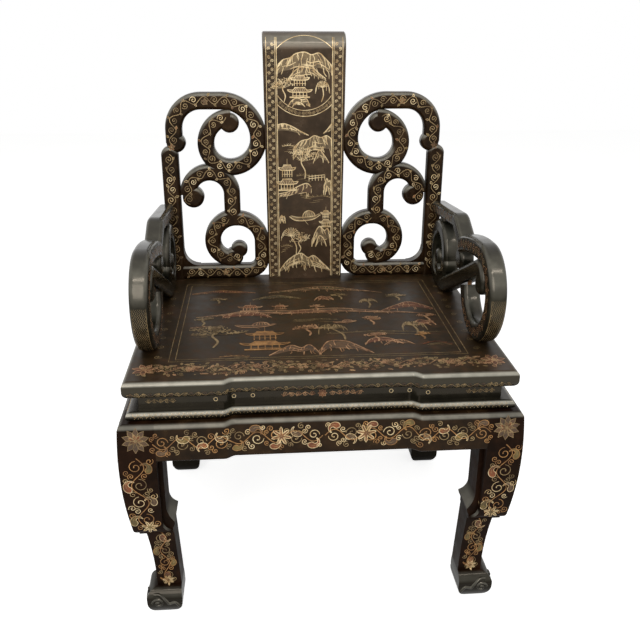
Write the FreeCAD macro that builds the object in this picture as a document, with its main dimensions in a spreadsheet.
import FreeCAD, Part
import math
import os
from FreeCAD import Placement, Rotation, Vector

doc = FreeCAD.newDocument("lacquered_armchair")

# Driving sizes in millimetres, kept in one spreadsheet
SIZES = [
    ("seat_wide", "660", "seat frame, left to right"),
    ("seat_deep", "552", "seat frame, front to back"),
    ("seat_high", "483", "floor to seat top"),
    ("rail_thick", "32", "seat frame thickness"),
    ("rail_wide", "80", "seat frame member width"),
    ("rail_top_round", "9", "upper arris of the seat edge"),
    ("rail_low_round", "15", "lower arris of the seat edge"),
    ("panel_thick", "16", "seat panel thickness"),
    ("tongue_thick", "6", "panel tongue thickness"),
    ("tongue_long", "8", "panel tongue into the groove"),
    ("batten_wide", "42", "batten under the seat panel"),
    ("batten_at", "110", "batten centre from the middle"),
    ("break_deep", "10", "recess of the middle of the front"),
    ("break_at", "158", "middle of the recess step"),
    ("break_run", "18", "length of the recess step"),
    ("waist_high", "24", "narrow waist board height"),
    ("waist_inset", "22", "waist face inside the seat edge"),
    ("waist_thick", "14", "waist board thickness"),
    ("bead_high", "16", "half-round bead height"),
    ("bead_inset", "2", "bead nose inside the seat edge"),
    ("apron_high", "68", "apron height"),
    ("apron_thick", "26", "apron thickness"),
    ("bulge", "14", "apron and leg swell outside the seat edge"),
    ("bulge_radius", "820", "radius of the swell"),
    ("bulge_drop", "148", "fullest point below the seat top"),
    ("leg_inner", "49", "upper leg inner face from the seat edge"),
    ("ledge_high", "192", "carved ledge on the leg"),
    ("ankle_out", "26", "ankle outer face from the seat edge"),
    ("ankle_in", "70", "ankle inner face from the seat edge"),
    ("ankle_high", "56", "top of the scrolled foot"),
    ("foot_out", "7", "fullest part of the foot from the seat edge"),
    ("core_in", "56", "square core of the upper leg, inner face from the seat edge"),
    ("core_low_in", "65", "square core below its barb"),
    ("core_out", "6", "square core of the upper leg, outer face from the seat edge"),
    ("barb", "4", "carved barb standing out from the lower core"),
    ("barb_up", "16", "barb above the ledge"),
    ("post_size", "36", "leg post behind the waist"),
    ("tenon_size", "20", "square tenon on the leg post"),
    ("joint_slack", "0.2", "clearance in mortises and drilled holes"),
    ("strip", "35", "width of the carved scroll strips"),
    ("strip_round", "8.5", "rounding of the scroll strips"),
    ("back_thick", "30", "thickness of the back scrollwork"),
    ("back_inset", "2", "back scrollwork inside the rear seat edge"),
    ("post_inset", "26", "back post inside the seat edge"),
    ("post_jog", "12", "step inward above the cusp"),
    ("cusp_up", "301", "cusp on the back post above the seat"),
    ("crest_up", "404", "top of the crest scroll above the seat"),
    ("crest_corner", "57.5", "crest shoulder radius"),
    ("crest_fall", "77", "crest volute, first quarter radius"),
    ("crest_turn", "61", "crest volute, second quarter radius"),
    ("crest_rise", "50", "crest volute, third quarter radius"),
    ("crest_curl", "54", "crest volute, last quarter radius"),
    ("neck_at", "158", "cloud scroll neck from the middle"),
    ("hook_up", "191", "cloud scroll hook centre above the seat"),
    ("ring_at", "162", "cloud scroll ring from the middle"),
    ("ring_up", "86", "cloud scroll ring centre above the seat"),
    ("ring_radius", "41.5", "cloud scroll ring radius"),
    ("foot_rail_high", "31.5", "back bottom rail height"),
    ("branch_reach", "66", "foot rail branch from the splat to its tip"),
    ("branch_up", "136", "tip of the foot rail branch above the seat"),
    ("splat_up", "522", "top of the splat above the seat"),
    ("splat_low_wide", "163", "splat width at the seat"),
    ("splat_top_wide", "171", "splat width at the top"),
    ("splat_thick", "22", "splat board thickness"),
    ("splat_ahead", "5", "splat face in front of the scrollwork"),
    ("splat_roll", "34", "radius of the rolled splat top"),
    ("splat_ease", "2.5", "eased arrises of the splat"),
    ("arm_inset", "30", "arm centre inside the seat edge"),
    ("arm_thick", "32", "arm thickness"),
    ("arm_up", "172", "arm rail top above the seat, at the back post"),
    ("arm_deep", "28", "arm rail height"),
    ("hump_at", "58", "hump of the arm rail behind the middle"),
    ("hump_rise", "17", "rise of the arm rail from the post to the hump"),
    ("hump_bend", "30", "bend radius at the hump"),
    ("tip_run", "60", "arm rail from the hump to its tip"),
    ("tip_fall", "31", "drop of the arm rail from the hump to its tip"),
    ("volute_up", "183.5", "top of the front arm volute above the seat"),
    ("volute_at", "135", "volute crown in front of the middle"),
    ("volute_sweep", "400", "radius of the sweep from the rail to the crown"),
    ("volute_radius", "68", "volute front quarter radius"),
    ("volute_limb", "84", "radius of the limb behind the volute"),
    ("tail_hook_at", "124", "hook of the arm tail in front of the middle"),
    ("tail_hook", "22", "hook radius of the arm tail"),
    ("tail_dip", "60", "radius where the arm tail lands on the seat"),
    ("tail_flat", "36", "length of the arm tail along the seat"),
    ("tail_turn", "48", "radius where the arm tail turns up the post"),
    ("tail_rise", "14", "straight length of the arm tail on the post"),
    ("tail_crown", "54", "radius of the arm tail over the top"),
    ("tail_curl", "32", "radius of the curl inside the arm tail"),
    ("tail_knob", "23", "radius of the knob between the arm tail and the rail"),
    ("dowel", "8", "dowel diameter"),
    ("dowel_long", "26", "dowel length"),
]

sheet = doc.addObject("Spreadsheet::Sheet", "dims")
for row, (alias, value, note) in enumerate(SIZES, 1):
    sheet.set("A%d" % row, note)
    sheet.set("B%d" % row, value)
    sheet.setAlias("B%d" % row, alias)
doc.recompute()


def size(alias):
    return float(sheet.get(alias))


HALF_WIDE = size("seat_wide") / 2
HALF_DEEP = size("seat_deep") / 2
SEAT = size("seat_high")
RAIL_LOW = SEAT - size("rail_thick")
WAIST_LOW = RAIL_LOW - size("waist_high")
BEAD_LOW = WAIST_LOW - size("bead_high")
APRON_LOW = BEAD_LOW - size("apron_high")
INNER = size("waist_inset") + size("waist_thick")
STRIP = size("strip")
SLACK = size("joint_slack")
BACK_REAR = HALF_DEEP - size("back_inset")
BACK_FACE = BACK_REAR - size("back_thick")
POST_OUT = HALF_WIDE - size("post_inset")
POST_IN = POST_OUT - STRIP - 1
ARM_X = HALF_WIDE - size("arm_inset")
SPLAT_TOP = SEAT + size("splat_up")
FINISHED = []


# Small helpers that add document objects
def keep(obj, label):
    obj.Label = label
    FINISHED.append(obj)
    return obj


def feature(name, shape):
    obj = doc.addObject("Part::Feature", name)
    obj.Shape = shape
    return obj


def cut(name, base, tools):
    tool = tools[0]
    if len(tools) > 1:
        tool = doc.addObject("Part::MultiFuse", name + "_tools")
        tool.Shapes = tools
    obj = doc.addObject("Part::Cut", name)
    obj.Base = base
    obj.Tool = tool
    return obj


def common(name, base, tool):
    obj = doc.addObject("Part::Common", name)
    obj.Base = base
    obj.Tool = tool
    return obj


def fuse(name, shapes):
    obj = doc.addObject("Part::MultiFuse", name)
    obj.Shapes = shapes
    obj.Refine = True
    return obj


def mirror(name, source, normal):
    obj = doc.addObject("Part::Mirroring", name)
    obj.Source = source
    obj.Normal = normal
    return obj


def box(name, sides, corner):
    obj = doc.addObject("Part::Box", name)
    for prop, text in zip(("Length", "Width", "Height"), sides):
        obj.setExpression(prop, text)
    for axis, text in zip("xyz", corner):
        obj.setExpression("Placement.Base." + axis, text)
    return obj


def outline(start, moves):
    """Closed list of lines and three-point arcs through 2-D points."""
    here = Vector(start[0], start[1], 0)
    edges = []
    for move in moves + [(start,)]:
        points = [Vector(p[0], p[1], 0) for p in move]
        if points[-1].distanceToPoint(here) < 1e-6:
            continue
        bow = (points[0] - here).cross(points[-1] - here).Length
        if bow < 0.05 * points[-1].distanceToPoint(here):
            edges.append(Part.LineSegment(here, points[-1]))
        else:
            edges.append(Part.Arc(here, points[0], points[1]))
        here = points[-1]
    return edges


def body(name, plane, edges, offset, length):
    """Sketch on a base plane, moved along its normal and padded."""
    obj = doc.addObject("PartDesign::Body", name)
    sketch = obj.newObject("Sketcher::SketchObject", name + "_sketch")
    role = {"XY": 3, "XZ": 4, "YZ": 5}[plane]
    sketch.AttachmentSupport = [(obj.Origin.OriginFeatures[role], "")]
    sketch.MapMode = "FlatFace"
    for edge in edges:
        sketch.addGeometry(edge, False)
    sketch.setExpression("AttachmentOffset.Base.z", offset)
    pad = obj.newObject("PartDesign::Pad", name + "_pad")
    pad.Profile = sketch
    pad.setExpression("Length", length)
    sketch.Visibility = False
    return obj


# Carved strips: a rounded section carried along lines and arcs
def section(wide, thick, radius):
    a = wide / 2
    b = thick / 2
    r = min(radius, a - 1, b - 1)
    k = r * (1 - math.sqrt(0.5))
    return outline((a - r, -b), [
        ((a - k, -b + k), (a, -b + r)), ((a, b - r),),
        ((a - k, b - k), (a - r, b)), ((-a + r, b),),
        ((-a + k, b - k), (-a, b - r)), ((-a, -b + r),),
        ((-a + k, -b + k), (-a + r, -b))])


def heading(angle):
    return Vector(math.cos(math.radians(angle)), math.sin(math.radians(angle)), 0)


def strip(start, angle, moves, wide, thick):
    """Section carried along a tangent path of (length,) lines and (radius, turn) arcs."""
    here = Vector(start[0], start[1], 0)
    face = Part.Face(Part.Wire([e.toShape() for e in section(wide, thick, size("strip_round"))]))
    face.Placement = Placement(here, Rotation(heading(angle + 90), Vector(0, 0, 1), heading(angle), "ZXY"))
    stretches = []
    for move in moves:
        if len(move) == 1:
            step = heading(angle) * move[0]
            stretches.append(face.extrude(step))
            face.translate(step)
            here = here + step
            continue
        radius, turn = move
        side = math.copysign(90, turn)
        centre = here + heading(angle + side) * radius
        axis = Vector(0, 0, math.copysign(1, turn))
        stretches.append(face.revolve(centre, axis, abs(turn)))
        face.rotate(centre, axis, abs(turn))
        angle += turn
        here = centre - heading(angle + side) * radius
    solid = stretches[0]
    if len(stretches) > 1:
        solid = solid.fuse(stretches[1:]).removeSplitter()
    return solid, here, angle


def puck(centre, radius, thick):
    r = min(size("strip_round"), radius - 2)
    k = r * (1 - math.sqrt(0.5))
    b = thick / 2
    pts = [(radius - r, -b), (radius, -b + r), (radius, b - r), (radius - r, b)]
    edges = [Part.LineSegment(Vector(0, 0, -b), Vector(pts[0][0], 0, pts[0][1])),
             Part.Arc(Vector(pts[0][0], 0, pts[0][1]), Vector(radius - k, 0, -b + k),
                      Vector(pts[1][0], 0, pts[1][1])),
             Part.LineSegment(Vector(pts[1][0], 0, pts[1][1]), Vector(pts[2][0], 0, pts[2][1])),
             Part.Arc(Vector(pts[2][0], 0, pts[2][1]), Vector(radius - k, 0, b - k),
                      Vector(pts[3][0], 0, pts[3][1])),
             Part.LineSegment(Vector(pts[3][0], 0, pts[3][1]), Vector(0, 0, b)),
             Part.LineSegment(Vector(0, 0, b), Vector(0, 0, -b))]
    face = Part.Face(Part.Wire([e.toShape() for e in edges]))
    solid = face.revolve(Vector(0, 0, 0), Vector(0, 0, 1), 360)
    solid.translate(Vector(centre[0], centre[1], 0))
    return solid


# The flat drawing plane is stood up: back pieces face -Y, arm pieces face +X
BACK_PLANE = Placement(Vector(0, (BACK_FACE + BACK_REAR) / 2, 0), Rotation(Vector(1, 0, 0), 90))
ARM_PLANE = Placement(Vector(ARM_X, 0, 0),
                      Rotation(Vector(0, 1, 0), Vector(0, 0, 1), Vector(1, 0, 0), "ZXY"))


def carved(name, solids, plane):
    shape = solids[0]
    if len(solids) > 1:
        shape = solids[0].fuse(solids[1:]).removeSplitter()
    obj = feature(name, shape)
    obj.Placement = plane
    return obj


# Outward profiles: first number is the distance outside the seat edge, second the height
def swell(z):
    r = size("bulge_radius")
    return size("bulge") - r + math.sqrt(r * r - (z - SEAT + size("bulge_drop")) ** 2)


def rail_profile(back):
    top = size("rail_top_round")
    low = size("rail_low_round")
    k = 1 - math.sqrt(0.5)
    return outline((-back, RAIL_LOW), [
        ((-low, RAIL_LOW),),
        ((-low * k, RAIL_LOW + low * k), (0, RAIL_LOW + low)),
        ((0, SEAT - top),),
        ((-top * k, SEAT - top * k), (-top, SEAT)),
        ((-back, SEAT),)])


def waist_profile():
    return outline((-INNER, WAIST_LOW), [
        ((-size("waist_inset"), WAIST_LOW),),
        ((-size("waist_inset"), RAIL_LOW),),
        ((-INNER, RAIL_LOW),)])


def bead_profile():
    nose = -size("bead_inset")
    r = size("bead_high") / 2
    return outline((-INNER, BEAD_LOW), [
        ((nose - r, BEAD_LOW),),
        ((nose, BEAD_LOW + r), (nose - r, WAIST_LOW)),
        ((-INNER, WAIST_LOW),)])


def apron_profile():
    back = size("bulge") - size("apron_thick")
    shoulder = BEAD_LOW - 10
    middle = (shoulder + APRON_LOW + 4) / 2
    return outline((back, APRON_LOW), [
        ((swell(APRON_LOW) - 4, APRON_LOW),),
        ((swell(APRON_LOW) - 1, APRON_LOW + 1), (swell(APRON_LOW + 4), APRON_LOW + 4)),
        ((swell(middle), middle), (swell(shoulder), shoulder)),
        ((swell(shoulder) - 2, shoulder + 6), (3, BEAD_LOW)),
        ((back, BEAD_LOW),)])


def moved(edges, place):
    wire = Part.Wire([e.toShape() for e in edges])
    wire.Placement = place
    return wire


# Profile planes: local x points out of the seat, local y points up
OUT_FRONT = Rotation(Vector(0, -1, 0), Vector(0, 0, 1), Vector(-1, 0, 0), "ZXY")


def broken_front(name, edges, reach):
    """Front member whose middle stands back behind its two ends."""
    at = size("break_at")
    run = size("break_run")
    steps = 6
    stops = [(reach, 0.0)]
    for i in range(steps + 1):
        t = i / steps
        stops.append((at + run * (0.5 - t), size("break_deep") * t * t * (3 - 2 * t)))
    wires = []
    for x, back in stops + [(-x, back) for x, back in reversed(stops)]:
        wires.append(moved(edges, Placement(Vector(x, back - HALF_DEEP, 0), OUT_FRONT)))
    return feature(name, Part.makeLoft(wires, True, True))


# Corner wedges that mitre the four sides of each frame
def wedge(name, side):
    far = 80
    corner = (HALF_WIDE + far, HALF_DEEP + far)
    depth = HALF_DEEP - 6
    inner = (HALF_WIDE - depth, HALF_DEEP - depth)
    if side == "back":
        points = [corner, (-corner[0], corner[1]), (-inner[0], inner[1]), inner]
    else:
        points = [corner, inner, (inner[0], -inner[1]), (corner[0], -corner[1])]
    moves = [(p,) for p in points[1:]]
    return body(name, "XY", outline(points[0], moves), "dims.seat_high - 200", "260")


WEDGE_BACK = wedge("wedge_back", "back")
WEDGE_FRONT = mirror("wedge_front", WEDGE_BACK, Vector(0, 1, 0))
WEDGE_SIDE = wedge("wedge_side", "side")


def shifted(edges, by):
    result = []
    for edge in edges:
        copy = edge.copy()
        copy.translate(Vector(by, 0, 0))
        result.append(copy)
    return result


def straight(name, edges, wedge_obj, side):
    """Back or right member: profile padded along the seat and mitred."""
    if side == "back":
        raw = body(name + "_stock", "YZ", shifted(edges, HALF_DEEP),
                   "-dims.seat_wide / 2 - 60", "dims.seat_wide + 120")
    else:
        raw = body(name + "_stock", "XZ", shifted(edges, HALF_WIDE),
                   "-dims.seat_deep / 2 - 60", "dims.seat_deep + 120")
    return common(name, raw, wedge_obj)


# Legs: two sawn outlines crossed, with a square core behind, the post and the tenon
def leg_outline():
    ledge = size("ledge_high")
    shoulder = BEAD_LOW - 10
    middle = (shoulder + ledge + 9) / 2
    ankle = size("ankle_high")
    out = -size("ankle_out")
    inn = -size("ankle_in")
    face = -size("leg_inner")
    foot = -size("foot_out")
    return outline((face, BEAD_LOW), [
        ((3, BEAD_LOW),),
        ((swell(shoulder) - 2, shoulder + 6), (swell(shoulder), shoulder)),
        ((swell(middle), middle), (swell(ledge + 9), ledge + 9)),
        ((swell(ledge) - 2, ledge + 1), (swell(ledge) - 9, ledge - 3)),
        ((out + 14, ledge - 4),),
        ((out + 11, ledge - 6), (out + 10, ledge - 11)),
        ((out + 3, (ankle + ledge) / 2), (out, ankle)),
        ((foot - 3, ankle * 0.84), (foot, ankle * 0.6)),
        ((foot - 3.5, ankle * 0.26), (foot - 14, 0)),
        ((inn + 16, 0),),
        ((inn + 4, ankle * 0.2), (inn - 1, ankle * 0.6)),
        ((inn - 0.8, ankle * 0.85), (inn, ankle)),
        ((inn + 3, (ankle + ledge) / 2), (inn + 6, ledge)),
        ((face - 3, ledge + 8), (face, ledge + 24))])


def core_outline():
    low = size("ledge_high") - 6
    barb = size("ledge_high") + size("barb_up")
    out = -size("core_out")
    inn = -size("core_in")
    low_inn = -size("core_low_in")
    tip = low_inn - size("barb")
    return outline((out, BEAD_LOW), [
        ((out, low),), ((low_inn, low),), ((low_inn, barb - 12),),
        ((tip + 1, barb - 6), (tip, barb)),
        ((inn - 5, barb + 12), (inn, barb + 30)),
        ((inn, BEAD_LOW),)])


# Leg profile is drawn from the right seat edge and from the rear seat edge
def crossed(name, profile):
    across = body(name + "_across", "XZ", shifted(profile, HALF_WIDE),
                  "-dims.seat_deep / 2 - 60", "200")
    along = body(name + "_along", "YZ", shifted(profile, HALF_DEEP),
                 "dims.seat_wide / 2 - 140", "200")
    return common(name, across, along)


LEG_SAWN = crossed("leg_sawn", leg_outline())
LEG_CORE = crossed("leg_core", core_outline())
HEAD_OUT = "(dims.apron_thick - dims.bulge)"
INNER_TEXT = "(dims.waist_inset + dims.waist_thick)"
LEG_HEAD = box("leg_head",
               ("%s + dims.post_size - %s" % (INNER_TEXT, HEAD_OUT),) * 2 + ("dims.apron_high",),
               ("dims.seat_wide / 2 - %s - dims.post_size" % INNER_TEXT,
                "dims.seat_deep / 2 - %s - dims.post_size" % INNER_TEXT,
                "dims.seat_high - dims.rail_thick - dims.waist_high - dims.bead_high"
                " - dims.apron_high"))
LEG_POST = box("leg_post",
               ("dims.post_size", "dims.post_size",
                "dims.apron_high + dims.bead_high + dims.waist_high"),
               ("dims.seat_wide / 2 - %s - dims.post_size" % INNER_TEXT,
                "dims.seat_deep / 2 - %s - dims.post_size" % INNER_TEXT,
                "dims.seat_high - dims.rail_thick - dims.waist_high - dims.bead_high"
                " - dims.apron_high"))
TENON_X = "dims.seat_wide / 2 - %s - dims.post_size / 2 - dims.tenon_size / 2" % INNER_TEXT
TENON_Y = "dims.seat_deep / 2 - %s - dims.post_size / 2 - dims.tenon_size / 2" % INNER_TEXT
LEG_TENON = box("leg_tenon", ("dims.tenon_size", "dims.tenon_size", "dims.rail_thick * 0.6 + 4"),
                (TENON_X, TENON_Y, "dims.seat_high - dims.rail_thick - 4"))
LEG_WHOLE = fuse("leg_whole", [LEG_SAWN, LEG_CORE, LEG_HEAD, LEG_POST, LEG_TENON])


# Joint tools: blocks and drilled holes, never handed over themselves
def block(name, low, high):
    sides = [b - a for a, b in zip(low, high)]
    return feature(name, Part.makeBox(sides[0], sides[1], sides[2], Vector(*low)))


def four_corners(name, obj):
    across = mirror(name + "_l", obj, Vector(1, 0, 0))
    return [obj, across, mirror(name + "_f", obj, Vector(0, 1, 0)),
            mirror(name + "_fl", across, Vector(0, 1, 0))]


PINS = {}


def pin(name, centre, axis):
    """A dowel and the hole it sits in, both centred on the joint face."""
    way = Vector(*axis).normalize()
    place = Placement(Vector(*centre) - way * size("dowel_long") / 2,
                      Rotation(Vector(0, 0, 1), way))
    peg = doc.addObject("Part::Cylinder", name)
    peg.setExpression("Radius", "dims.dowel / 2")
    peg.setExpression("Height", "dims.dowel_long")
    peg.Placement = place
    hole = doc.addObject("Part::Cylinder", name + "_hole")
    hole.setExpression("Radius", "dims.dowel / 2 + dims.joint_slack / 2")
    hole.setExpression("Height", "dims.dowel_long")
    hole.Placement = place
    PINS[name] = (peg, hole)
    return hole


def holes(*names):
    return [PINS[name][1] for name in names]


def pegs(*names):
    return [PINS[name][0] for name in names]


# Upright dowels that tie the seat frame, the waist and the bead together
WAIST_MID = size("waist_inset") + size("waist_thick") / 2
FRAME_HOLES = []
FRAME_PEGS = []
for name, x, y, z in (("pin_back", HALF_WIDE * 0.68, HALF_DEEP - WAIST_MID, RAIL_LOW),
                      ("pin_back_low", HALF_WIDE * 0.58, HALF_DEEP - WAIST_MID, WAIST_LOW),
                      ("pin_side", HALF_WIDE - WAIST_MID, HALF_DEEP * 0.58, RAIL_LOW),
                      ("pin_side_low", HALF_WIDE - WAIST_MID, HALF_DEEP * 0.45, WAIST_LOW)):
    pin(name, (x, y, z), (0, 0, 1))
    FRAME_HOLES += four_corners(name + "_h", PINS[name][1])
    FRAME_PEGS += four_corners(name + "_p", PINS[name][0])

# Mortises shared by the seat frame
TIP = size("tenon_size") / 2 + SLACK
MID_X = HALF_WIDE - INNER - size("post_size") / 2
MID_Y = HALF_DEEP - INNER - size("post_size") / 2
TENON_TOP = RAIL_LOW + size("rail_thick") * 0.6
LEG_MORTISES = four_corners("leg_mortise", block(
    "leg_mortise", (MID_X - TIP, MID_Y - TIP, RAIL_LOW - 5), (MID_X + TIP, MID_Y + TIP, TENON_TOP + SLACK)))
PANEL_X = HALF_WIDE - size("rail_wide")
PANEL_Y = HALF_DEEP - size("rail_wide")
PANEL_LOW = SEAT - size("panel_thick")
TONGUE = size("tongue_long")
GROOVE = block("groove", (-PANEL_X - TONGUE - SLACK, -PANEL_Y - TONGUE - SLACK, PANEL_LOW),
               (PANEL_X + TONGUE + SLACK, PANEL_Y + TONGUE + SLACK,
                PANEL_LOW + size("tongue_thick") + SLACK))


# Loose keys across the mitres of the seat frame
def corner_key(name, slack):
    solid = Part.makeBox(24 + slack, 16 + slack, 9, Vector(-12 - slack / 2, -8 - slack / 2, 0))
    obj = feature(name, solid)
    obj.Placement = Placement(Vector(HALF_WIDE - 26, HALF_DEEP - 26, RAIL_LOW + 3),
                              Rotation(Vector(0, 0, 1), -45))
    return obj


KEY_SLOTS = four_corners("key_slot", corner_key("key_slot", SLACK))
KEYS = four_corners("key", corner_key("key", 0))

# Battens under the seat panel, tenoned into the front and back rails
BATTEN_SLOTS = [block("batten_slot_%d" % i, (x - 15 - SLACK, -PANEL_Y - 12, RAIL_LOW + 4 - SLACK),
                      (x + 15 + SLACK, PANEL_Y + 12, RAIL_LOW + 12 + SLACK))
                for i, x in enumerate((size("batten_at"), -size("batten_at")))]

# Splat: a bent board sawn to a taper
SPLAT_FACE = BACK_FACE - size("splat_ahead")
ROLL = size("splat_roll")
INNER_ROLL = ROLL - size("splat_thick")
ROLL_Y = SPLAT_FACE + ROLL
ROLL_Z = SPLAT_TOP - ROLL
ROLL_END = 76


def on_roll(radius, angle):
    return (ROLL_Y + radius * math.cos(math.radians(angle)),
            ROLL_Z + radius * math.sin(math.radians(angle)))


def splat_edge(z):
    low = size("splat_low_wide") / 2
    top = size("splat_top_wide") / 2
    return low + (top - low) * (z - SEAT) / (SPLAT_TOP - SEAT)


MID_ROLL = (ROLL + INNER_ROLL) / 2
CAP = on_roll(MID_ROLL, ROLL_END - math.degrees(size("splat_thick") / 2 / MID_ROLL))
SPLAT_BENT = body("splat_bent", "YZ", outline((SPLAT_FACE, SEAT), [
    ((SPLAT_FACE, ROLL_Z),),
    (on_roll(ROLL, 120), on_roll(ROLL, ROLL_END)),
    (CAP, on_roll(INNER_ROLL, ROLL_END)),
    (on_roll(INNER_ROLL, 120), on_roll(INNER_ROLL, 180)),
    ((SPLAT_FACE + size("splat_thick"), SEAT),)]), "-dims.splat_top_wide", "dims.splat_top_wide * 2")
LOW_EDGE = splat_edge(SEAT - 60)
TOP_EDGE = splat_edge(SPLAT_TOP + 10)
SPLAT_TAPER = body("splat_taper", "XZ", outline((-LOW_EDGE, SEAT - 60), [
    ((LOW_EDGE, SEAT - 60),), ((TOP_EDGE, SPLAT_TOP + 10),),
    ((-TOP_EDGE, SPLAT_TOP + 10),)]), "-dims.seat_deep / 2 - 60", "160")
SPLAT_BOARD = common("splat_board", SPLAT_BENT, SPLAT_TAPER)
doc.recompute()
SPLAT_SIDES = [f for f in SPLAT_BOARD.Shape.Faces if abs(f.normalAt(0, 0).x) > 0.9]
SPLAT_ARRISES = [e for f in SPLAT_SIDES for e in f.Edges
                 if e.BoundBox.ZMin > SEAT + 1 or e.BoundBox.ZLength > 50]
SPLAT_EASED = feature("splat_eased", SPLAT_BOARD.Shape.makeChamfer(size("splat_ease"), SPLAT_ARRISES))
SPLAT_MID = SPLAT_FACE + size("splat_thick") / 2
SPLAT_TENON = block("splat_tenon", (-60, SPLAT_MID - 6, SEAT - 20), (60, SPLAT_MID + 6, SEAT + 4))
SPLAT_SLOT = block("splat_slot", (-60 - SLACK, SPLAT_MID - 6 - SLACK, SEAT - 20 - SLACK),
                   (60 + SLACK, SPLAT_MID + 6 + SLACK, SEAT + 4))

# Back scrollwork, drawn for the right-hand side
THICK = size("back_thick")
BACK_MID = (BACK_FACE + BACK_REAR) / 2
CREST_X = POST_OUT - size("post_jog") - STRIP / 2
CUSP = SEAT + size("cusp_up")
CREST_MID = SEAT + size("crest_up") - STRIP / 2
CREST_RISE = CREST_MID - size("crest_corner") - CUSP
CREST_LEVEL = CREST_MID - size("crest_fall")
FALL_X = splat_edge(CREST_LEVEL) + STRIP / 2 - 3.5 + size("crest_fall")
crest_main, turn_end, turn_way = strip((CREST_X, CUSP), 90, [
    (CREST_RISE,), (size("crest_corner"), 90), (CREST_X - size("crest_corner") - FALL_X,),
    (size("crest_fall"), 90), (size("crest_turn"), 90), (size("crest_rise"), 90)], STRIP, THICK)
crest_curl, curl_end, _ = strip(turn_end, turn_way, [(size("crest_curl"), 90)], STRIP, THICK)
CREST_RAW = carved("crest_raw", [
    crest_main, crest_curl, puck((curl_end.x + 3, curl_end.y - 11), STRIP * 0.58, THICK),
    puck((CREST_X - 3.5, CUSP), STRIP * 0.57, THICK)], BACK_PLANE)

POST_MID = (POST_OUT + POST_IN) / 2
post_strip, post_end, _ = strip((POST_MID, SEAT), 90, [(CUSP - 25 - SEAT,)], STRIP + 1, THICK)
POST_RAW = carved("post_raw", [post_strip, puck(post_end, STRIP / 2 + 0.5, THICK)], BACK_PLANE)
POST_TENON = block("post_tenon", (POST_MID - 10, BACK_MID - 8, SEAT - 15),
                   (POST_MID + 10, BACK_MID + 8, SEAT + 6))
POST_SLOT = block("post_slot", (POST_MID - 10 - SLACK, BACK_MID - 8 - SLACK, SEAT - 15 - SLACK),
                  (POST_MID + 10 + SLACK, BACK_MID + 8 + SLACK, SEAT + 6))

FOOT = size("foot_rail_high")
FOOT_Z = SEAT + FOOT / 2
FOOT_TURN = 28
BRANCH_Z = SEAT + size("branch_up")
BRANCH_ARC = size("branch_reach") - FOOT / 2 + 2
BRANCH_X = splat_edge(BRANCH_Z - BRANCH_ARC) + FOOT / 2 - 2
foot_strip, _, _ = strip((BRANCH_X + BRANCH_ARC, BRANCH_Z), 180, [
    (BRANCH_ARC, 90), (BRANCH_Z - BRANCH_ARC - FOOT_Z - FOOT_TURN,), (FOOT_TURN, 90),
    (POST_IN - BRANCH_X - FOOT_TURN + 4,)], FOOT, THICK)
corner = outline((POST_IN + 2, SEAT + FOOT - 4), [
    ((POST_IN - 34, SEAT + FOOT - 4),), ((POST_IN - 34, SEAT + FOOT),),
    ((POST_IN - 10, SEAT + FOOT + 10), (POST_IN, SEAT + FOOT + 34)),
    ((POST_IN + 2, SEAT + FOOT + 34),)])
spandrel = Part.Face(Part.Wire([e.toShape() for e in corner])).extrude(Vector(0, 0, THICK - 6))
spandrel.translate(Vector(0, 0, 3 - THICK / 2))
FOOT_RAW = carved("foot_raw", [foot_strip, spandrel], BACK_PLANE)

NECK = size("neck_at")
RING_X = size("ring_at")
RING_Z = SEAT + size("ring_up")
RING_R = size("ring_radius")
HOOK_Z = SEAT + size("hook_up")
HOOK_R = (POST_IN + 1.5 - STRIP / 2 - NECK) / 2
hook, hook_end, _ = strip((NECK, RING_Z + RING_R - 3), 90, [
    (HOOK_Z - RING_Z - RING_R + 3,), (HOOK_R, -180)], STRIP, THICK)
RING_START = BRANCH_X + BRANCH_ARC
RING_TOP = BRANCH_Z + (STRIP - FOOT) / 2
RING_RUN = RING_X + RING_R - RING_START
RING_DROP = RING_TOP - RING_Z
RING_WIDE_R = min(RING_RUN, RING_DROP) - 1
ring, _, _ = strip((RING_START, RING_TOP), 0, [
    (RING_RUN - RING_WIDE_R,), (RING_WIDE_R, -90), (RING_DROP - RING_WIDE_R,), (RING_R, -90), (6,)],
    STRIP, THICK)
CLOUD_RAW = carved("cloud_raw", [
    hook, ring, puck((hook_end.x - 11, hook_end.y - 6), STRIP * 0.66, THICK),
    puck((RING_X - 4, RING_Z - 37), STRIP * 0.58, THICK),
    puck((RING_X - 16, RING_Z - 20), STRIP * 0.52, THICK)], BACK_PLANE)

# Dowels of the right-hand back scrollwork
SPLAT_PIN_Y = (BACK_FACE + SPLAT_FACE + size("splat_thick")) / 2
TURN_C = Vector(FALL_X - size("crest_fall") + size("crest_turn"),
                CREST_LEVEL - size("crest_turn") + size("crest_rise"), 0)
MEET = (Vector(NECK + HOOK_R, HOOK_Z, 0) - TURN_C).normalize()
CREST_CLOUD = TURN_C + MEET * (size("crest_rise") + STRIP / 2)
FOOT_PIN_Z = BRANCH_Z - BRANCH_ARC
pin("pin_crest_splat", (splat_edge(CREST_LEVEL), SPLAT_PIN_Y, CREST_LEVEL), (1, 0, 0))
pin("pin_crest_post", (CREST_X + 4, BACK_MID, CUSP - 16), (0, 0, 1))
pin("pin_hook_post", (POST_IN, BACK_MID, HOOK_Z + 6), (1, 0, 0))
pin("pin_crest_cloud", (CREST_CLOUD.x, BACK_MID, CREST_CLOUD.y), (MEET.x, 0, MEET.y))
pin("pin_ring_foot", (RING_X + 4, BACK_MID, SEAT + FOOT), (0, 0, 1))
pin("pin_foot_post", (POST_IN, BACK_MID, FOOT_Z), (1, 0, 0))
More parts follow.
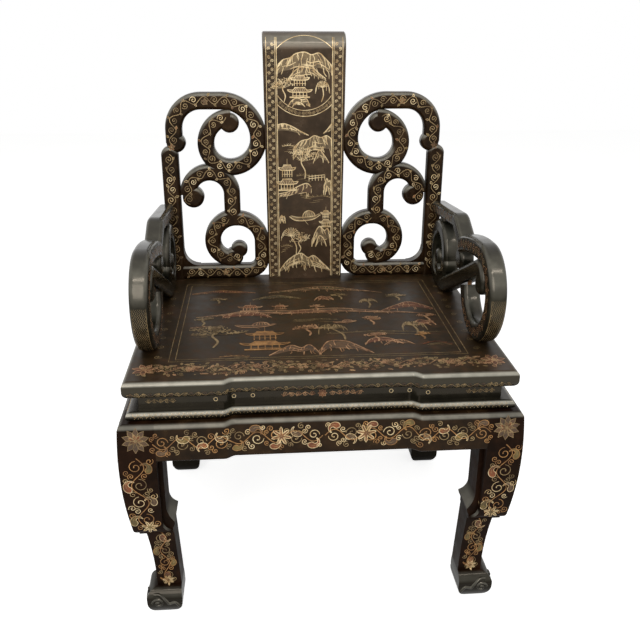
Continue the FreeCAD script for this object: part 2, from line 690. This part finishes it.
pin("pin_foot_splat", (splat_edge(FOOT_PIN_Z), SPLAT_PIN_Y, FOOT_PIN_Z), (1, 0, 0))
pin("pin_foot_seat", ((RING_X + POST_IN) / 2, BACK_MID, SEAT), (0, 0, 1))

CREST = cut("crest_right", CREST_RAW, [SPLAT_TAPER] + holes(
    "pin_crest_splat", "pin_crest_post", "pin_crest_cloud"))
POST_JOINED = fuse("post_joined", [POST_RAW, POST_TENON])
POST = cut("post_right", POST_JOINED, [CREST_RAW] + holes(
    "pin_crest_post", "pin_hook_post", "pin_foot_post"))
FOOT_RAIL = cut("foot_rail_right", FOOT_RAW, [SPLAT_TAPER, POST_RAW] + holes(
    "pin_foot_post", "pin_foot_splat", "pin_foot_seat", "pin_ring_foot"))
CLOUD = cut("cloud_right", CLOUD_RAW, [CREST_RAW, POST_RAW, FOOT_RAW, SPLAT_TAPER] + holes(
    "pin_hook_post", "pin_crest_cloud", "pin_ring_foot"))

# Arms, drawn for the right-hand side in the upright plane that runs front to back
ARM_THICK = size("arm_thick")
ARM_DEEP = size("arm_deep")
ARM_MID = SEAT + size("arm_up") - ARM_DEEP / 2
BEND = size("hump_bend")
CLIMB = math.degrees(math.atan2(size("hump_rise"), BACK_FACE - size("hump_at")))
DROP = math.degrees(math.atan2(size("tip_fall"), size("tip_run")))
BEND_CUT = BEND * math.tan(math.radians((CLIMB + DROP) / 2))
RAIL_IN = 8
RAIL_RUN = (BACK_FACE + RAIL_IN - size("hump_at")) / math.cos(math.radians(CLIMB))
TIP_RUN = math.hypot(size("tip_run"), size("tip_fall"))
RAIL_START = (BACK_FACE + RAIL_IN, ARM_MID - RAIL_IN * math.tan(math.radians(CLIMB)))
rail_strip, tip, _ = strip(RAIL_START, 180 - CLIMB, [
    (RAIL_RUN - BEND_CUT,), (BEND, CLIMB + DROP), (TIP_RUN - BEND_CUT,)], ARM_DEEP, ARM_THICK)
ARM_RAIL_RAW = carved("arm_rail_raw", [rail_strip, puck(tip, ARM_DEEP / 2 + 1.5, ARM_THICK)], ARM_PLANE)

VOLUTE_Z = SEAT + size("volute_up") - STRIP / 2
SWEEP = size("volute_sweep")
START = math.degrees(math.asin((size("volute_at") + tip.x + 10) / SWEEP))
START_Y = SWEEP * math.sin(math.radians(START)) - size("volute_at")
START_Z = VOLUTE_Z - SWEEP * (1 - math.cos(math.radians(START)))
FRONT_R = size("volute_radius")
LOW_R = VOLUTE_Z - FRONT_R - SEAT - STRIP / 2 + 2
LIMB_R = size("volute_limb")
LIMB_TURN = 72
volute, limb_end, _ = strip((START_Y, START_Z), 180 - START, [
    (SWEEP, START), (FRONT_R, 90), (LOW_R, 90), (LIMB_R, LIMB_TURN)], STRIP, ARM_THICK)
FRONT_SCROLL_RAW = carved("arm_front_raw", [volute], ARM_PLANE)

# The tail hooks under the volute, slopes down to the seat and curls up against the post
WIDE = STRIP - 3
HOOK_R2 = size("tail_hook")
DIP_R = size("tail_dip")
TURN_R = size("tail_turn")
CROWN_R = size("tail_crown")
HOOK_C = (-size("tail_hook_at"), VOLUTE_Z - STRIP / 2 - WIDE / 2 - HOOK_R2 + 1)
TAIL_BACK = BACK_FACE - WIDE / 2 + 1.5
TAIL_LOW = SEAT + WIDE / 2 - 1.5
DIP_C = (TAIL_BACK - TURN_R - size("tail_flat"), TAIL_LOW + DIP_R)
SPAN = math.hypot(DIP_C[0] - HOOK_C[0], DIP_C[1] - HOOK_C[1])
LEAN = math.degrees(math.atan2(DIP_C[1] - HOOK_C[1], DIP_C[0] - HOOK_C[0]))
SLOPE = LEAN - math.degrees(math.asin((HOOK_R2 + DIP_R) / SPAN))
LINK = math.sqrt(SPAN ** 2 - (HOOK_R2 + DIP_R) ** 2)
HOOK_TIP = (HOOK_C[0] - HOOK_R2, HOOK_C[1])
tail, crown_end, crown_way = strip(HOOK_TIP, 90, [
    (HOOK_R2, SLOPE - 90), (LINK,), (DIP_R, -SLOPE), (size("tail_flat"),), (TURN_R, 90),
    (size("tail_rise"),), (CROWN_R, 180)], WIDE, ARM_THICK)
curl, curl_end, _ = strip(crown_end, crown_way, [(12,), (size("tail_curl"), 150)],
                                 WIDE, ARM_THICK)
CROWN_Y = TAIL_BACK - CROWN_R
RAIL_UNDER = ARM_MID - ARM_DEEP / 2 + (BACK_FACE - CROWN_Y) * math.tan(math.radians(CLIMB))
KNOB = size("tail_knob")
KNOB_Y = tip.x + KNOB / 2
KNOB_Z = tip.y - ARM_DEEP / 2 - KNOB + 4
REAR_SCROLL_RAW = carved("arm_rear_raw", [
    tail, curl, puck((HOOK_TIP[0] + 6, HOOK_TIP[1] - 2), WIDE * 0.62, ARM_THICK),
    puck((crown_end.x, crown_end.y - 14), WIDE * 0.62, ARM_THICK),
    puck((curl_end.x - 2, curl_end.y + 14), WIDE * 0.62, ARM_THICK),
    puck((KNOB_Y, KNOB_Z), KNOB, ARM_THICK - 4),
    puck((CROWN_Y, RAIL_UNDER - 6), 13, ARM_THICK - 8)], ARM_PLANE)
BELOW_SEAT = block("below_seat", (0, -HALF_DEEP, SEAT - 60), (HALF_WIDE, HALF_DEEP, SEAT))
BEHIND_ARM = block("behind_arm", (0, BACK_FACE, SEAT - 60), (HALF_WIDE, HALF_DEEP + 60, SEAT + 300))

# Dowels of the right-hand arm
LIMB_WAY = heading(LIMB_TURN)
pin("pin_rail_post", (ARM_X - 4, BACK_FACE, ARM_MID), (0, 1, 0))
pin("pin_rail_volute", (ARM_X, tip.x - ARM_DEEP / 2, tip.y + 4), (0, 1, 0))
pin("pin_volute_seat", (ARM_X, LOW_R - FRONT_R - size("volute_at"), SEAT), (0, 0, 1))
pin("pin_limb_tail", (ARM_X, limb_end.x, limb_end.y), (0, LIMB_WAY.x, LIMB_WAY.y))
pin("pin_hook_volute", (ARM_X, HOOK_C[0], VOLUTE_Z - STRIP / 2), (0, 0, 1))
pin("pin_rear_seat", (ARM_X, DIP_C[0] + size("tail_flat") / 2, SEAT), (0, 0, 1))
pin("pin_rear_post", (ARM_X - 4, BACK_FACE, TAIL_LOW + TURN_R), (0, 1, 0))
pin("pin_rear_rail", (ARM_X, CROWN_Y, RAIL_UNDER), (0, 0, 1))

ARM_RAIL = cut("arm_rail_right", ARM_RAIL_RAW, [BEHIND_ARM] + holes(
    "pin_rail_post", "pin_rail_volute", "pin_rear_rail"))
FRONT_SCROLL = cut("arm_front_right", FRONT_SCROLL_RAW,
                   [BELOW_SEAT, ARM_RAIL_RAW, REAR_SCROLL_RAW] + holes(
                       "pin_rail_volute", "pin_volute_seat", "pin_limb_tail", "pin_hook_volute"))
REAR_SCROLL = cut("arm_rear_right", REAR_SCROLL_RAW,
                  [BELOW_SEAT, BEHIND_ARM, ARM_RAIL_RAW] + holes(
                      "pin_limb_tail", "pin_hook_volute", "pin_rear_seat", "pin_rear_post",
                      "pin_rear_rail"))
POST_DRILLED = cut("post_drilled", POST, holes("pin_rail_post", "pin_rear_post"))

# Mirrored pairs of the scrollwork
for label, right in (("crest_scroll", CREST), ("back_post", POST_DRILLED),
                     ("back_foot_rail", FOOT_RAIL), ("cloud_scroll", CLOUD),
                     ("arm_rail", ARM_RAIL), ("arm_front_scroll", FRONT_SCROLL),
                     ("arm_rear_scroll", REAR_SCROLL)):
    keep(right, label + "_right")
    keep(mirror(label + "_mirror", right, Vector(1, 0, 0)), label + "_left")

SPLAT_WHOLE = fuse("splat_whole", [SPLAT_EASED, SPLAT_TENON])
SPLAT_HOLES = []
for name in ("pin_crest_splat", "pin_foot_splat"):
    SPLAT_HOLES += [PINS[name][1], mirror(name + "_far", PINS[name][1], Vector(1, 0, 0))]
keep(cut("splat_drilled", SPLAT_WHOLE, SPLAT_HOLES), "back_splat")

# Seat frame, waist, bead and aprons: the front is broken, the other sides are straight
FRAME_TOOLS = [GROOVE] + LEG_MORTISES + KEY_SLOTS + FRAME_HOLES
SEAT_HOLES = []
for name in ("pin_foot_seat", "pin_volute_seat", "pin_rear_seat"):
    SEAT_HOLES += [PINS[name][1], mirror(name + "_far", PINS[name][1], Vector(1, 0, 0))]
POST_SLOTS = [POST_SLOT, mirror("post_slot_far", POST_SLOT, Vector(1, 0, 0))]

front_nose = broken_front("front_nose", rail_profile(45), HALF_WIDE + 40)
front_inner = block("front_inner", (-HALF_WIDE - 40, -HALF_DEEP + 40, RAIL_LOW),
                    (HALF_WIDE + 40, -PANEL_Y, SEAT))
front_rail = common("front_rail", fuse("front_stock", [front_nose, front_inner]), WEDGE_FRONT)
keep(cut("front_rail_cut", front_rail, FRAME_TOOLS + BATTEN_SLOTS), "seat_front_rail")
back_rail = straight("back_rail", rail_profile(size("rail_wide")), WEDGE_BACK, "back")
keep(cut("back_rail_cut", back_rail, FRAME_TOOLS + BATTEN_SLOTS + POST_SLOTS + [SPLAT_SLOT]
         + SEAT_HOLES), "seat_back_rail")
side_rail = straight("side_rail", rail_profile(size("rail_wide")), WEDGE_SIDE, "side")
side_cut = keep(cut("side_rail_cut", side_rail, FRAME_TOOLS + SEAT_HOLES), "seat_side_rail_right")
keep(mirror("side_rail_far", side_cut, Vector(1, 0, 0)), "seat_side_rail_left")

for label, edges in (("waist", waist_profile()), ("bead", bead_profile())):
    front = common(label + "_front", broken_front(label + "_front_raw", edges, HALF_WIDE + 40), WEDGE_FRONT)
    keep(cut(label + "_front_cut", front, FRAME_HOLES), "front_" + label)
    back = straight(label + "_back", edges, WEDGE_BACK, "back")
    keep(cut(label + "_back_cut", back, FRAME_HOLES), "back_" + label)
    side = straight(label + "_side", edges, WEDGE_SIDE, "side")
    right = keep(cut(label + "_side_cut", side, FRAME_HOLES), "side_%s_right" % label)
    keep(mirror(label + "_side_far", right, Vector(1, 0, 0)), "side_%s_left" % label)

# Aprons with a tenon at each end, housed in the legs
APRON_X = HALF_WIDE - size("leg_inner")
APRON_Y = HALF_DEEP - size("leg_inner")
APRON_BACK = size("bulge") - size("apron_thick")
TENON_LOW = APRON_LOW + 14
TENON_HIGH = BEAD_LOW - 14
BACK_TENON = block("back_tenon", (-APRON_X - 15, HALF_DEEP + APRON_BACK + 4, TENON_LOW),
                   (APRON_X + 15, HALF_DEEP + APRON_BACK + 15, TENON_HIGH))
SIDE_TENON = block("side_tenon", (HALF_WIDE + APRON_BACK + 4, -APRON_Y - 15, TENON_LOW),
                   (HALF_WIDE + APRON_BACK + 15, APRON_Y + 15, TENON_HIGH))
BACK_MORTISE = block("back_mortise", (0, HALF_DEEP + APRON_BACK + 4 - SLACK, TENON_LOW - SLACK),
                     (APRON_X + 15 + SLACK, HALF_DEEP + APRON_BACK + 15 + SLACK, TENON_HIGH + SLACK))
SIDE_MORTISE = block("side_mortise", (HALF_WIDE + APRON_BACK + 4 - SLACK, 0, TENON_LOW - SLACK),
                     (HALF_WIDE + APRON_BACK + 15 + SLACK, APRON_Y + 15 + SLACK, TENON_HIGH + SLACK))
FRONT_TENON = mirror("front_tenon", BACK_TENON, Vector(0, 1, 0))
TENON_GAP = block("tenon_gap", (-APRON_X + 20, -HALF_DEEP - 60, APRON_LOW), (APRON_X - 20, 0, BEAD_LOW))
FRONT_TENONS = cut("front_tenons", FRONT_TENON, [TENON_GAP])
keep(fuse("apron_front", [broken_front("apron_front_raw", apron_profile(), APRON_X), FRONT_TENONS]),
     "front_apron")
apron_back = body("apron_back_raw", "YZ", shifted(apron_profile(), HALF_DEEP),
                  "dims.leg_inner - dims.seat_wide / 2", "dims.seat_wide - 2 * dims.leg_inner")
keep(fuse("apron_back", [apron_back, BACK_TENON]), "back_apron")
apron_side = body("apron_side_raw", "XZ", shifted(apron_profile(), HALF_WIDE),
                  "dims.leg_inner - dims.seat_deep / 2", "dims.seat_deep - 2 * dims.leg_inner")
apron_right = keep(fuse("apron_side", [apron_side, SIDE_TENON]), "side_apron_right")
keep(mirror("apron_side_far", apron_right, Vector(1, 0, 0)), "side_apron_left")

LEG = cut("leg_back_right", LEG_WHOLE, [BACK_MORTISE, SIDE_MORTISE])
LEG_FRONT = mirror("leg_front_right", LEG, Vector(0, 1, 0))
keep(LEG, "back_leg_right")
keep(mirror("leg_back_left", LEG, Vector(1, 0, 0)), "back_leg_left")
keep(LEG_FRONT, "front_leg_right")
keep(mirror("leg_front_left", LEG_FRONT, Vector(1, 0, 0)), "front_leg_left")

# Seat panel with its tongue, and the battens under it
PANEL_SIDE = "dims.seat_%s - 2 * dims.rail_wide - 0.6"
panel_top = box("panel_top", (PANEL_SIDE % "wide", PANEL_SIDE % "deep", "dims.panel_thick"),
                ("dims.rail_wide - dims.seat_wide / 2 + 0.3", "dims.rail_wide - dims.seat_deep / 2 + 0.3",
                 "dims.seat_high - dims.panel_thick"))
TONGUE_SIDE = "dims.seat_%s - 2 * dims.rail_wide + 2 * dims.tongue_long"
TONGUE_AT = "dims.rail_wide - dims.tongue_long - dims.seat_%s / 2"
panel_tongue = box("panel_tongue", (TONGUE_SIDE % "wide", TONGUE_SIDE % "deep", "dims.tongue_thick"),
                   (TONGUE_AT % "wide", TONGUE_AT % "deep", "dims.seat_high - dims.panel_thick"))
keep(fuse("panel", [panel_top, panel_tongue]), "seat_panel")
BATTEN_LONG = "dims.seat_deep - 2 * dims.rail_wide"
batten_bar = box("batten_bar", ("dims.batten_wide", BATTEN_LONG, "dims.rail_thick - dims.panel_thick"),
                 ("dims.batten_at - dims.batten_wide / 2", "dims.rail_wide - dims.seat_deep / 2",
                  "dims.seat_high - dims.rail_thick"))
batten_tenon = box("batten_tenon", ("30", BATTEN_LONG + " + 23", "8"),
                   ("dims.batten_at - 15", "dims.rail_wide - dims.seat_deep / 2 - 11.5",
                    "dims.seat_high - dims.rail_thick + 4"))
batten = keep(fuse("batten", [batten_bar, batten_tenon]), "seat_batten_right")
keep(mirror("batten_far", batten, Vector(1, 0, 0)), "seat_batten_left")

# Small joinery in groups
keep(fuse("frame_pegs", FRAME_PEGS), "frame_dowels")
keep(fuse("corner_keys", KEYS), "seat_corner_keys")
back_pegs = fuse("back_pegs", pegs("pin_crest_splat", "pin_crest_post", "pin_hook_post",
                                   "pin_crest_cloud", "pin_ring_foot", "pin_foot_post",
                                   "pin_foot_splat", "pin_foot_seat"))
keep(back_pegs, "back_dowels_right")
keep(mirror("back_pegs_far", back_pegs, Vector(1, 0, 0)), "back_dowels_left")
arm_pegs = fuse("arm_pegs", pegs("pin_rail_post", "pin_rail_volute", "pin_volute_seat",
                                 "pin_limb_tail", "pin_hook_volute", "pin_rear_seat",
                                 "pin_rear_post", "pin_rear_rail"))
keep(arm_pegs, "arm_dowels_right")
keep(mirror("arm_pegs_far", arm_pegs, Vector(1, 0, 0)), "arm_dowels_left")

# Recompute, check every object and write one file per sub-part
doc.recompute()
for obj in doc.Objects:
    if "Invalid" in obj.State or "Error" in obj.State:
        raise SystemExit("%s did not recompute" % obj.Name)
os.makedirs("parts", exist_ok=True)
for obj in FINISHED:
    shape = obj.Shape
    if shape.isNull() or not shape.isValid() or not shape.Solids:
        raise SystemExit("%s has no sound shape" % obj.Label)
    shape.exportStep("parts/%s.step" % obj.Label)
    print("%-24s %2d solids %8.1f cm3" % (obj.Label, len(shape.Solids), shape.Volume / 1000))
